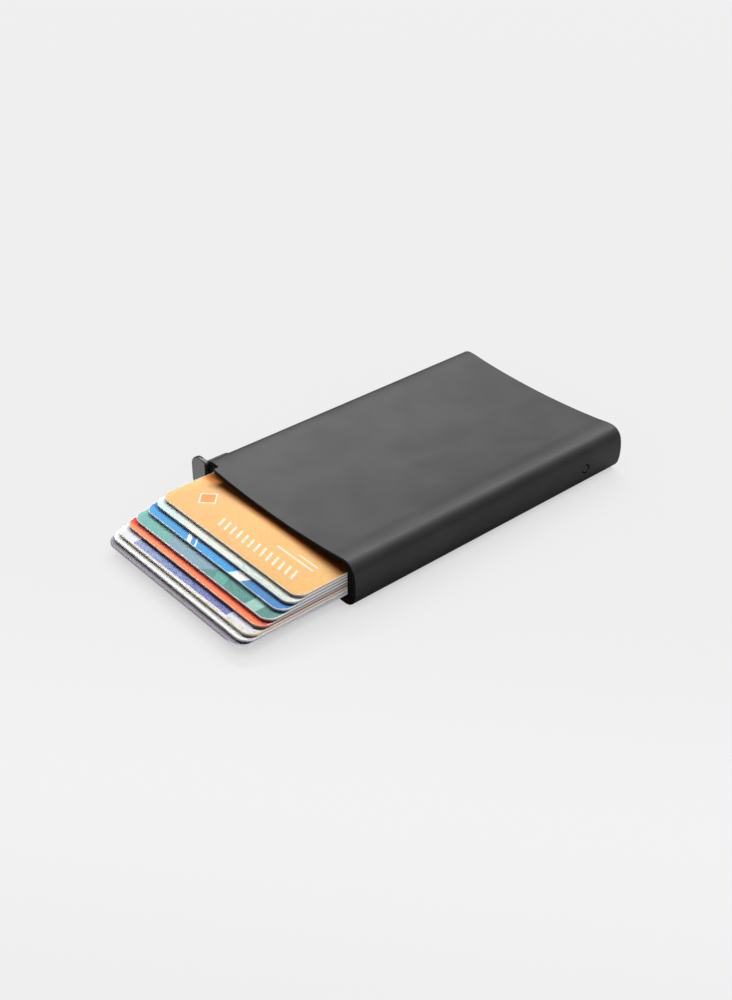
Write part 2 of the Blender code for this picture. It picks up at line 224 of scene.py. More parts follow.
# ------------------------------------------------------------- material tools
class Net:
    """a node-based material, with short names for the nodes used here"""

    def __init__(self, name, roughness=0.5, metallic=0.0, specular=0.5):
        self.mat = bpy.data.materials.new(name)
        self.mat.use_nodes = True
        self.t = self.mat.node_tree
        self.t.nodes.clear()
        self.out = self.t.nodes.new("ShaderNodeOutputMaterial")
        self.bsdf = self.t.nodes.new("ShaderNodeBsdfPrincipled")
        self.t.links.new(self.bsdf.outputs[0], self.out.inputs["Surface"])
        self.set("Roughness", roughness)
        self.set("Metallic", metallic)
        self.set("Specular IOR Level", specular)

    def set(self, name, value):
        self.put(self.bsdf.inputs[name], value)

    def node(self, kind, **kw):
        n = self.t.nodes.new(kind)
        for k, v in kw.items():
            setattr(n, k, v)
        return n

    def put(self, socket, value):
        if isinstance(value, bpy.types.NodeSocket):
            self.t.links.new(value, socket)
        elif isinstance(value, tuple) and len(value) == 3 and socket.type == "RGBA":
            socket.default_value = (*value, 1.0)
        else:
            socket.default_value = value

    def math(self, op, a, b=0.0, c=0.0, clamp=False):
        n = self.node("ShaderNodeMath", operation=op, use_clamp=clamp)
        for s, v in zip(n.inputs, (a, b, c)):
            self.put(s, v)
        return n.outputs[0]

    def place(self):
        """position on the piece in the sleeve's frame, in millimetres"""
        tex = self.node("ShaderNodeTexCoord")
        n = self.node("ShaderNodeVectorMath", operation="MULTIPLY_ADD")
        self.put(n.inputs[0], tex.outputs["Object"])
        n.inputs[1].default_value = (1000.0,) * 3
        n.inputs[2].default_value = (ORIGIN_X, ORIGIN_Y, 0.0)
        return n.outputs[0]

    def split(self, vec):
        n = self.node("ShaderNodeSeparateXYZ")
        self.put(n.inputs[0], vec)
        return n.outputs[0], n.outputs[1], n.outputs[2]

    def join(self, x, y, z):
        n = self.node("ShaderNodeCombineXYZ")
        for s, v in zip(n.inputs, (x, y, z)):
            self.put(s, v)
        return n.outputs[0]

    def stretch(self, vec, x, y, z):
        n = self.node("ShaderNodeVectorMath", operation="MULTIPLY")
        self.put(n.inputs[0], vec)
        n.inputs[1].default_value = (x, y, z)
        return n.outputs[0]

    def noise(self, vec, scale, detail=2.0, rough=0.5, distortion=0.0, w=0.0):
        n = self.node("ShaderNodeTexNoise", noise_dimensions="4D")
        self.put(n.inputs["Vector"], vec)
        n.inputs["W"].default_value = w
        n.inputs["Scale"].default_value = scale
        n.inputs["Detail"].default_value = detail
        n.inputs["Roughness"].default_value = rough
        n.inputs["Distortion"].default_value = distortion
        return n.outputs["Fac"]

    def span(self, v, a, b, c=0.0, d=1.0, smooth=True):
        """v from a..b mapped to c..d"""
        n = self.node("ShaderNodeMapRange",
                      interpolation_type="SMOOTHSTEP" if smooth else "LINEAR")
        for s, x in zip(n.inputs, (v, a, b, c, d)):
            self.put(s, x)
        return n.outputs[0]

    def mix(self, fac, a, b, blend="MIX"):
        n = self.node("ShaderNodeMix", data_type="RGBA", blend_type=blend)
        self.put(n.inputs[0], fac)
        self.put(n.inputs[6], a)
        self.put(n.inputs[7], b)
        return n.outputs[2]

    def blend(self, fac, a, b):
        n = self.node("ShaderNodeMix", data_type="FLOAT")
        self.put(n.inputs[0], fac)
        self.put(n.inputs[2], a)
        self.put(n.inputs[3], b)
        return n.outputs[0]

    def band(self, x, lo, hi, soft=0.06):
        """1 between lo and hi, with soft borders"""
        half = (hi - lo) / 2
        d = self.math("ABSOLUTE", self.math("SUBTRACT", x, (hi + lo) / 2))
        return self.span(d, half - soft, half + soft, 1.0, 0.0)

    def times(self, *v):
        out = v[0]
        for x in v[1:]:
            out = self.math("MULTIPLY", out, x)
        return out

    def either(self, *v):
        out = v[0]
        for x in v[1:]:
            out = self.math("MAXIMUM", out, x)
        return out

    def bump(self, height, distance_mm, strength=1.0, normal=None):
        n = self.node("ShaderNodeBump")
        self.put(n.inputs["Height"], height)
        n.inputs["Distance"].default_value = distance_mm * 0.001
        n.inputs["Strength"].default_value = strength
        if normal is not None:
            self.put(n.inputs["Normal"], normal)
        return n.outputs[0]


# ------------------------------------------------------------------ materials
def anodised(name, dark, light, rough, polish=0.0, tint=0.62):
    """bead-blasted and anodised aluminium: fine dimples, faint drawing lines
    left by the extrusion, and slow clouds where the dye took differently"""
    g = Net(name, metallic=0.92, specular=0.5)
    g.bsdf.inputs["Specular Tint"].default_value = (tint, tint, tint, 1.0)
    p = g.place()
    clouds = g.noise(g.stretch(p, 1.0, 0.8, 1.0), 0.055, 2.5, 0.55, 0.6, 3.1)
    clouds2 = g.noise(p, 0.16, 2.0, 0.5, 0.3, 8.7)
    lines = g.noise(g.stretch(p, 3.2, 0.03, 3.2), 1.0, 3.0, 0.6, 0.0, 1.3)
    grain = g.noise(p, 5.5, 2.0, 0.6, 0.0, 5.0)
    slow = g.math("MULTIPLY_ADD", clouds2, 0.35, g.math("MULTIPLY", clouds, 0.65))
    t = g.span(slow, 0.36, 0.64, 0.0, 1.0)
    t = g.math("ADD", t, g.math("MULTIPLY_ADD", grain, 0.5, -0.25))
    t = g.math("ADD", t, g.math("MULTIPLY_ADD", lines, 0.24, -0.12), clamp=True)
    g.set("Base Color", g.mix(t, dark, light))
    r = g.math("MULTIPLY_ADD", clouds, 0.06, rough - 0.03)
    r = g.math("ADD", r, g.math("MULTIPLY_ADD", grain, 0.05, -0.025 - polish))
    g.set("Roughness", r)
    fine = g.noise(p, 8.0, 2.0, 0.65, 0.0, 2.0)
    g.set("Normal", g.bump(fine, 0.006, 0.7,
                           g.bump(lines, 0.004, 0.35)))
    return g.mat


def moulded(name, colour, rough, w=0.0, shine=0.12):
    """matt moulded plastic with a spark-eroded texture"""
    g = Net(name, specular=shine)
    p = g.place()
    cells = g.noise(p, 3.4, 3.0, 0.6, 0.2, w)
    flow = g.noise(g.stretch(p, 0.4, 0.09, 0.4), 1.0, 2.0, 0.5, 0.8, w + 4.0)
    g.set("Base Color", g.mix(g.span(flow, 0.3, 0.7), colour,
                              tuple(c * 1.6 + 0.001 for c in colour)))
    g.set("Roughness", g.math("MULTIPLY_ADD", cells, 0.14, rough - 0.07))
    g.set("Normal", g.bump(cells, 0.012, 0.6))
    return g.mat


def steel(name, axis, dark=0.10, light=0.20):
    """turned steel: fine rings about the piece's own axis"""
    g = Net(name, metallic=1.0)
    p = g.place()
    rings = g.noise(g.stretch(p, *axis), 1.0, 3.0, 0.7, 0.0, 2.2)
    g.set("Base Color", g.mix(rings, (dark,) * 3, (light,) * 3))
    g.set("Roughness", g.math("MULTIPLY_ADD", rings, 0.2, 0.2))
    g.set("Normal", g.bump(rings, 0.003, 0.5))
    return g.mat


def felted(name):
    """dense black needle felt"""
    g = Net(name, roughness=0.95, specular=0.15)
    p = g.place()
    a = g.noise(g.stretch(p, 9.0, 1.6, 3.0), 1.0, 3.0, 0.7, 1.6, 0.4)
    b = g.noise(g.stretch(p, 1.8, 8.0, 3.0), 1.0, 3.0, 0.7, 1.6, 6.4)
    fibres = g.either(a, b)
    g.set("Base Color", g.mix(g.span(fibres, 0.45, 0.8), (0.008, 0.008, 0.009),
                              (0.05, 0.05, 0.055)))
    g.bsdf.inputs["Sheen Weight"].default_value = 0.4
    g.bsdf.inputs["Sheen Roughness"].default_value = 0.5
    g.set("Normal", g.bump(fibres, 0.08, 0.9))
    return g.mat


ANODISED = anodised("anodised_aluminium", (0.0302, 0.0301, 0.0305),
                    (0.0374, 0.0373, 0.0378), 0.54)
ANODISED_EDGE = anodised("anodised_aluminium_edge", (0.029, 0.029, 0.0293),
                         (0.038, 0.038, 0.0385), 0.48)
TAB_METAL = anodised("tab_aluminium", (0.118, 0.118, 0.119),
                     (0.138, 0.138, 0.139), 0.42, 0.02)
# painted shade: a darker copy of the tab's aluminium for its faces that look up and down and
# its rounded edges
TAB_TOPS_SHADED = anodised("tab_aluminium_tops_painted_shade", (0.027, 0.027, 0.0275),
                    (0.035, 0.035, 0.0355), 0.38, 0.03)
CUT_END = anodised("anodised_cut_end", (0.021, 0.0180, 0.0150),
                   (0.027, 0.0230, 0.0190), 0.32, 0.0, 0.30)
# painted shade: a near-black copy of the anodised finish for the end faces in the notch and
# the window
NOTCH_END_SHADED = anodised("anodised_notch_painted_shade", (0.0036, 0.0034, 0.0033),
                     (0.0052, 0.0049, 0.0047), 0.56, 0.0, 0.30)
BLACK = moulded("black_plastic", (0.010, 0.010, 0.010), 0.5)
# painted shade: a darker copy of the black plastic, with less gloss, for the pieces inside the
# sleeve
BLACK_INSIDE_SHADED = moulded("black_inner_painted_shade", (0.0022, 0.0022, 0.0022), 0.6, 2.0, 0.03)
STEEL_X = steel("steel_turned_x", (0.6, 12.0, 12.0))
STEEL_Z = steel("steel_turned_z", (12.0, 12.0, 0.6), 0.33, 0.60)
PEG_STEEL = anodised("peg_steel", (0.033, 0.033, 0.0335), (0.045, 0.045, 0.0455), 0.40)
FELT = felted("felt")


def card_edge(name, lower, upper, lower_layer_and_shade, core, rim, side=None, grime=0.2):
    """punched edge: the core between the printed layers, with the dirt that
    gathers at their seams; the rim above it is worn to the white core. The
    layer below the core is also darkened as painted shade where the cards lie
    close, and a given side colour paints the right edge lighter as painted light"""
    g = Net(name, roughness=0.5, specular=0.3)
    p = g.place()
    _, _, z = g.split(p)
    t = g.math("SUBTRACT", z, lower)
    wave = g.noise(g.stretch(p, 0.5, 0.5, 0.0), 1.0, 3.0, 0.6, 0.0, lower)
    t = g.math("ADD", t, g.math("MULTIPLY_ADD", wave, 0.03, -0.015))
    dirt = g.noise(g.stretch(p, 1.0, 1.0, 6.0), 1.1, 4.0, 0.6, 0.4, lower)
    white = g.mix(g.span(dirt, 0.45, 0.78, 0.0, grime), core,
                  tuple(c * f for c, f in zip(core, (0.62, 0.56, 0.50))))
    seam = g.band(t, 0.36, 0.39, 0.012)
    white = g.mix(g.math("MULTIPLY", seam, 0.4), white, (0.40, 0.39, 0.38))
    # the lower band: the printed layer below the core, darkened as painted shade where the
    # cards lie close
    c = g.mix(g.span(t, 0.16, 0.22, 1.0, 0.0), white, lower_layer_and_shade)
    c = g.mix(g.span(t, 0.45, 0.49), c, upper)
    c = g.mix(g.span(t, CARD_T - 0.20, CARD_T - 0.17), c, rim)
    if side:
        # painted light: the long edge on the right is made lighter than the front edge
        c = g.mix(g.span(card_axes(g, 7)[1], 20.5, 25.0), c, side)
    g.set("Base Color", c)
    g.set("Roughness", g.math("MULTIPLY_ADD", dirt, 0.2, 0.4))
    g.set("Normal", g.bump(g.noise(g.stretch(p, 1.2, 1.2, 5.0), 1.0, 2.0), 0.003, 0.2))
    return g.mat


def border(g, u, v):
    """distance in from the card's outline, with its round corners"""
    inner_u, inner_v = CARD_W / 2 - CARD_R, CARD_L / 2 - CARD_R
    du = g.math("SUBTRACT", g.math("ABSOLUTE", u), inner_u)
    dv = g.math("SUBTRACT", g.math("ABSOLUTE", g.math("SUBTRACT", v, CARD_L / 2)),
                inner_v)
    out = g.math("SQRT", g.math("ADD",
                                g.math("POWER", g.math("MAXIMUM", du, 0.0), 2.0),
                                g.math("POWER", g.math("MAXIMUM", dv, 0.0), 2.0)))
    flat = g.math("MINIMUM", g.math("MAXIMUM", du, dv), 0.0)
    return g.math("SUBTRACT", CARD_R, g.math("ADD", out, flat))


def finish_print(g, p, colour, seed, wear=0.4, gloss=0.42, rim=None, rim_wear=0.35):
    """satin laminate over a print: halftone grain, fine scuffs, and a rim
    where the print has rubbed off the core"""
    grain = g.noise(p, 5.0, 2.0, 0.6, 0.0, seed)
    soft = g.noise(p, 0.14, 2.0, 0.5, 0.3, seed + 2)
    c = g.mix(g.span(grain, 0.62, 0.30, 0.0, 0.16, False), colour, (0.0, 0.0, 0.0))
    c = g.mix(g.span(grain, 0.45, 0.75, 0.0, 0.14, False), c, (1.0, 1.0, 1.0))
    c = g.mix(g.span(soft, 0.35, 0.75, 0.0, 0.06), c, (0.25, 0.24, 0.22))
    scuff = g.noise(g.stretch(p, 0.55, 5.5, 1.0), 1.0, 5.0, 0.75, 1.2, seed + 4)
    marks = g.span(scuff, 0.68, 0.76, 0.0, wear)
    c = g.mix(marks, c, (0.72, 0.71, 0.69))
    if rim is not None:
        edge = g.noise(g.stretch(p, 1.0, 1.0, 0.0), 1.3, 4.0, 0.7, 0.3, seed + 9)
        reach = g.span(edge, 0.50, 0.80, 0.11, 0.11 + rim_wear)
        worn = g.math("SUBTRACT", rim, reach)
        c = g.mix(g.span(worn, -0.03, 0.03, 1.0, 0.0), c, (0.74, 0.75, 0.77))
    g.set("Base Color", c)
    r = g.math("MULTIPLY_ADD", soft, 0.10, gloss - 0.05)
    g.set("Roughness", g.math("ADD", r, g.math("MULTIPLY", marks, 0.2)))
    g.set("Normal", g.bump(g.noise(p, 2.2, 3.0, 0.6, 0.0, seed + 7), 0.004, 0.5))
    return g.mat


def card_axes(g, i):
    """u across the card, v in from its front edge"""
    p = g.place()
    u, y, _ = g.split(p)
    return p, u, g.math("SUBTRACT", y, CARD_Y[i])


def slanted(g, u, v, slope):
    return g.math("MULTIPLY_ADD", v, slope, u)


CARD_SHINE = 0.04


def print_orange():
    g = Net("print_orange", specular=CARD_SHINE)
    p, u, v = card_axes(g, 0)
    warm = g.span(g.math("MULTIPLY_ADD", v, -0.8, u), -30.0, 25.0)
    c = g.mix(warm, tone(246, 190, 119), tone(246, 192, 118))
    # painted shade: the print turns a deeper orange in the band where the shadow of the
    # sleeve's lip falls on the card
    c = g.mix(g.span(v, 12.0, 13.9), c, tone(255, 147, 42))
    pale = tone(255, 240, 222)
    # a row of short slanted bars, a plain short line and a plain lozenge
    s = slanted(g, u, v, 0.45)
    comb = g.math("PINGPONG", g.math("ADD", s, 100.0), 1.15)
    bars = g.times(g.band(comb, -0.2, 0.40, 0.08), g.band(v, 3.3, 6.3, 0.1),
                   g.band(s, -6.85, 23.05, 0.05))
    line = g.times(g.band(v, 8.6, 9.1, 0.08), g.band(u, 8.5, 21.5, 0.1))
    line2 = g.times(g.band(v, 10.2, 10.6, 0.08), g.band(u, 14.5, 21.5, 0.1))
    d = g.math("ADD", g.math("ABSOLUTE", g.math("ADD", u, 18.2)),
               g.math("ABSOLUTE", g.math("SUBTRACT", v, 8.2)))
    lozenge = g.band(d, -1.0, 2.5, 0.08)
    rim = g.band(d, 2.5, 3.1, 0.08)
    c = g.mix(lozenge, c, tone(246, 158, 78))
    c = g.mix(g.math("MULTIPLY", g.either(bars, line, line2, rim), 0.9), c, pale)
    return finish_print(g, p, c, 1.0, 0.15, 0.42, border(g, u, v), 0.03)


def print_pale():
    g = Net("print_pale", specular=CARD_SHINE)
    p, u, v = card_axes(g, 1)
    t = g.noise(g.stretch(p, 0.16, 0.22, 0.2), 1.0, 2.0, 0.5, 1.0, 2.0)
    c = g.mix(g.span(t, 0.35, 0.65), tone(236, 240, 226), tone(222, 236, 226))
    c = g.mix(g.span(u, -22.0, -12.0, 1.0, 0.0), c, tone(214, 236, 236))
    spots = g.noise(g.stretch(p, 0.5, 0.9, 1.0), 1.0, 2.0, 0.5, 0.4, 21.0)
    c = g.mix(g.times(g.span(spots, 0.56, 0.66), g.band(u, 2.0, 24.0, 2.0), 0.55),
              c, tone(170, 208, 212))
    c = g.mix(g.times(g.span(spots, 0.42, 0.34), g.band(u, -8.0, 24.0, 2.0), 0.35),
              c, tone(206, 190, 170))
    return finish_print(g, p, c, 2.0, 0.2, 0.42, border(g, u, v), 0.10)


def print_blue():
    g = Net("print_blue", specular=CARD_SHINE)
    p, u, v = card_axes(g, 2)
    s = slanted(g, u, v, 0.9)
    c = g.mix(g.span(u, 9.0, 10.0), tone(66, 162, 226), tone(72, 140, 204))
    # painted shade: a deeper blue where the pale card above casts its shadow
    c = g.mix(g.times(g.span(v, 1.9, 2.5), 0.8), c, tone(10, 112, 190))
    thin = g.either(g.band(s, -9.0, -7.4, 0.08), g.band(s, -5.9, -5.3, 0.08))
    broad = g.band(slanted(g, u, v, -0.5), 7.4, 12.0, 0.1)
    c = g.mix(g.either(thin, broad), c, tone(244, 246, 250))
    return finish_print(g, p, c, 3.0, 0.2, 0.42, border(g, u, v), 0.06)


def print_teal():
    g = Net("print_teal", specular=CARD_SHINE)
    p, u, v = card_axes(g, 3)
    c = g.mix(g.span(slanted(g, u, v, 1.4), -11.2, -10.8), tone(114, 182, 172),
              tone(136, 168, 184))
    c = g.mix(g.span(slanted(g, u, v, -1.1), 0.8, 1.2), c, tone(90, 150, 142))
    c = g.mix(g.times(g.band(slanted(g, u, v, 0.6), 6.4, 10.4, 0.1), 0.85), c,
              tone(104, 178, 162))
    c = g.mix(g.times(g.band(u, 18.4, 22.2, 0.1), g.band(v, 0.0, 9.0, 0.1)), c,
              tone(162, 206, 194))
    streak = g.noise(g.stretch(p, 0.6, 3.0, 1.0), 1.0, 4.0, 0.7, 0.4, 31.0)
    c = g.mix(g.times(g.span(streak, 0.60, 0.68), g.band(v, 0.6, 5.0, 0.4), 0.35), c,
              tone(196, 208, 206))
    return finish_print(g, p, c, 4.0, 0.35, 0.42, border(g, u, v), 0.42)


def print_coral():
    g = Net("print_coral", specular=CARD_SHINE)
    p, u, v = card_axes(g, 4)
    c = g.mix(g.span(u, -20.0, 24.0), tone(255, 146, 88), tone(255, 136, 82))
    # painted shade: red where the teal card above casts its shadow
    c = g.mix(g.span(v, 0.7, 2.1), c, tone(246, 48, 20))
    return finish_print(g, p, c, 5.0, 0.6, 0.42, border(g, u, v), 0.16)


def print_violet():
    g = Net("print_violet", specular=CARD_SHINE)
    p, u, v = card_axes(g, 5)
    # loose hatching, as from a pen drawn to and fro
    sway = g.noise(g.stretch(p, 0.7, 0.9, 1.0), 1.0, 3.0, 0.6, 0.4, 16.0)
    bent = g.math("MULTIPLY_ADD", sway, 5.0, slanted(g, u, v, 0.9))
    hatch = g.math("PINGPONG", g.math("ADD", bent, 100.0), 0.42)
    cross = g.math("MULTIPLY_ADD", sway, -4.0, slanted(g, u, v, -1.7))
    hatch2 = g.math("PINGPONG", g.math("ADD", cross, 100.0), 0.60)
    patch = g.span(g.noise(g.stretch(p, 0.4, 0.5, 1.0), 1.0, 2.0, 0.5, 0.0, 26.0),
                   0.40, 0.60)
    ink = g.either(g.times(g.band(hatch, -0.1, 0.17, 0.07), 0.85),
                   g.times(g.band(hatch2, -0.1, 0.26, 0.08), patch))
    along = g.span(u, -18.0, 14.0)
    panel = g.mix(ink, g.mix(along, tone(160, 182, 222), tone(140, 152, 208)),
                  g.mix(along, tone(106, 116, 176), tone(76, 82, 152)))
    # painted shade: navy where the coral card above casts its shadow
    panel = g.mix(g.span(v, 2.2, 2.8), panel, tone(66, 70, 140))
    ends = g.either(g.span(u, 17.2, 17.5), g.span(u, -19.5, -19.2, 1.0, 0.0))
    panel = g.mix(ends, panel, tone(228, 230, 242))
    worn = g.noise(p, 0.9, 4.0, 0.7, 0.5, 6.0)
    lean = g.span(u, -24.0, 22.0, -0.25, 0.35, False)
    start = g.math("MULTIPLY_ADD", worn, 1.2, g.math("ADD", lean, 0.05))
    inside = g.times(g.band(u, -25.6, 25.6, 0.15),
                     g.span(g.math("SUBTRACT", v, start), -0.06, 0.06))
    cream = g.mix(g.span(worn, 0.45, 0.62, 0.0, 0.6), tone(242, 242, 226),
                  tone(196, 184, 142))
    c = g.mix(inside, cream, panel)
    return finish_print(g, p, c, 6.0, 0.4, 0.42, border(g, u, v), 0.20)


def print_white():
    g = Net("print_white", specular=CARD_SHINE)
    p, u, v = card_axes(g, 6)
    c = g.mix(g.span(v, 0.0, 3.0), tone(252, 254, 253), tone(246, 249, 249))
    return finish_print(g, p, c, 7.0, 0.15, 0.42, border(g, u, v), 0.05)


def print_grey():
    g = Net("print_grey", specular=CARD_SHINE)
    p, u, v = card_axes(g, 7)
    t = g.noise(g.stretch(p, 0.3, 1.2, 1.0), 1.0, 3.0, 0.5, 0.4, 8.0)
    c = g.mix(t, tone(148, 141, 153), tone(158, 151, 162))
    return finish_print(g, p, c, 8.0, 0.1)


def card_back(name, i, paper, stripe=None):
    """plain back, with the usual dark magnetic stripe and a writing strip"""
    g = Net(name, specular=CARD_SHINE)
    p, u, v = card_axes(g, i)
    c = g.mix(g.noise(p, 0.2, 2.0, 0.5, 0.0, 11.0 + i), paper,
              tuple(x * 0.93 for x in paper))
    if stripe:
        c = g.mix(g.band(u, -23.0, -10.3, 0.06), c, stripe)
        lines = g.math("PINGPONG", g.math("ADD", u, 100.0), 0.7)
        strip = g.mix(g.band(lines, -0.1, 0.12, 0.05), (0.78, 0.78, 0.76),
                      (0.55, 0.58, 0.62))
        c = g.mix(g.times(g.band(u, -6.5, 2.0, 0.06), g.band(v, 20.0, 78.0, 0.06)),
                  c, strip)
    return finish_print(g, p, c, 20.0 + i, 0.35)


# --------------------------------------------------------------------- sleeve
SIDE_A = math.degrees(math.asin((SLEEVE_T / 2 - CORNER_R) / (SIDE_R - CORNER_R)))
CORNER_X = SLEEVE_W / 2 - SIDE_R + (SIDE_R - CORNER_R) * math.cos(math.radians(SIDE_A))


def dish_drop(x):
    """how far the dished face lies below the crest at distance x from the
    centre line"""
    x = abs(x)
    crest = CORNER_X - LAND
    if x >= crest:
        return 0.0
    if x <= DISH_X:
        return DISH - DISH_K * x * x
    h = crest - DISH_X
    t = (x - DISH_X) / h
    p0, m0 = -(DISH - DISH_K * DISH_X ** 2), 2 * DISH_K * DISH_X * h
    return -((2 * t ** 3 - 3 * t ** 2 + 1) * p0 + (t ** 3 - 2 * t ** 2 + t) * m0)


def section(inset):
    """outline (x, z) of the sleeve, moved inwards by `inset`"""
    crest = CORNER_X - LAND
    flat = [DISH_X * i / 28 for i in range(29)]
    flat += [DISH_X + (crest - DISH_X) * i / 16 for i in range(1, 17)]
    top = [(x, SLEEVE_T - inset - dish_drop(x)) for x in flat]
    corner = arc(CORNER_X, SLEEVE_T - CORNER_R, CORNER_R - inset, 90, SIDE_A, 26)
    side = arc(SLEEVE_W / 2 - SIDE_R, SLEEVE_T / 2, SIDE_R - inset,
               SIDE_A, -SIDE_A, 18)[1:-1]
    right = top + corner + side + [(x, SLEEVE_T - z) for x, z in (top + corner)[::-1]]
    left = [(-x, z) for x, z in right[::-1]]
    return right + left[1:-1]


def make_sleeve():
    outer, inner = section(0.0), section(WALL)
    bm = bmesh.new()
    rings = [([bm.verts.new(mm(x, y, z)) for x, z in outer],
              [bm.verts.new(mm(x, y, z)) for x, z in inner])
             for y in (0.0, SLEEVE_L)]
    (o0, i0), (o1, i1) = rings
    n = len(outer)
    for i in range(n):
        j = (i + 1) % n
        bm.faces.new((o0[i], o0[j], o1[j], o1[i]))
        bm.faces.new((i0[i], i1[i], i1[j], i0[j]))
        bm.faces.new((o0[i], i0[i], i0[j], o0[j]))
        bm.faces.new((o1[i], o1[j], i1[j], i1[i]))
    ob = new_object("sleeve_shell", bm)
    boolean(ob, along_x("cut", rounded(-2, WINDOW_Y, *WINDOW_Z,
                                       (WINDOW_R, 0, 0, WINDOW_R)),
                        -33, -27.0), "DIFFERENCE")
    boolean(ob, along_z("cut", rounded(-33, NOTCH_X, -2, NOTCH_Y, (0, 0, 0, 0)),
                        -2, 15), "DIFFERENCE")
    boolean(ob, turned_x("cut", [(27, 0), (27, PEG_HOLE_R), (33, PEG_HOLE_R),
                                 (33, 0)], *PEG_YZ), "DIFFERENCE")
    ob.data.materials.append(ANODISED)
    ob.data.materials.append(ANODISED_EDGE)
    ob.data.materials.append(CUT_END)
    ob.data.materials.append(NOTCH_END_SHADED)
    # end faces: the mouth takes the cut-end finish, the notch and the window the near-black
    # copy as painted shade, the far end the edge finish
    for f in ob.data.polygons:
        if abs(f.normal.y) > 0.9:
            y = f.center.y * 1000 + ORIGIN_Y
            f.material_index = 2 if y < 0.5 else 3 if y < SLEEVE_L / 2 else 1
    soften(ob, 0.14, 2, 32.0, 1)
    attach(ob, "holder")
    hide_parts("sleeve")
    return ob


make_sleeve()


# -------------------------------------------------------------------- end cap
def make_cap():
    """moulded plate of the closed end: a sunk panel with two ribs outside,
    two lugs for the lever's pin and a leg for the peg inside"""
    outline = section(WALL + 0.12)
    ob = along_y("cap_body", outline, *CAP_Y)
    sunk = rounded(-24.6, 24.6, 3.9, 8.5, (2.2,) * 4, 16)
    boolean(ob, along_y("cut", sunk, CAP_Y[1] - 0.35, CAP_Y[1] + 1.0), "DIFFERENCE")
    for u in (-8.2, 8.2):
        rib = rounded(u - 0.45, u + 0.45, 3.6, 8.8, (0.2,) * 4, 4)
        boolean(ob, along_y("rib", rib, CAP_Y[1] - 0.6, CAP_Y[1] - 0.1), "UNION")
    for z0, z1 in ((1.50, 2.55), (9.35, 10.95)):
        lug = [(PIVOT[0] + 1.4, CAP_Y[0] + 0.4), (PIVOT[0] - 1.4, CAP_Y[0] + 0.4)]
        lug += arc(PIVOT[0], PIVOT[1], 1.4, 180, 360, 20)
        boolean(ob, along_z("lug", lug, z0, z1), "UNION")
    leg = rounded(LEG_X[0], LEG_X[1], LEG_Y, CAP_Y[0] + 0.4, (0, 0, 0.35, 0.35), 5)
    boolean(ob, along_z("leg", leg, *LEG_Z), "UNION")
    hole = [(PIVOT[0] + (PIN_R + 0.02) * math.cos(math.radians(a)),
             PIVOT[1] + (PIN_R + 0.02) * math.sin(math.radians(a)))
            for a in range(0, 360, 10)]
    boolean(ob, along_z("cut", hole, -1, 14), "DIFFERENCE")
    boolean(ob, turned_x("cut", [(26, 0), (26, PEG_R + 0.02), (31, PEG_R + 0.02),
                                 (31, 0)], *PEG_YZ), "DIFFERENCE")
    ob.data.materials.append(BLACK)
    soften(ob, 0.12, 3, 34.0)
    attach(ob, "holder")
    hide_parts("end_cap")
    return ob


make_cap()


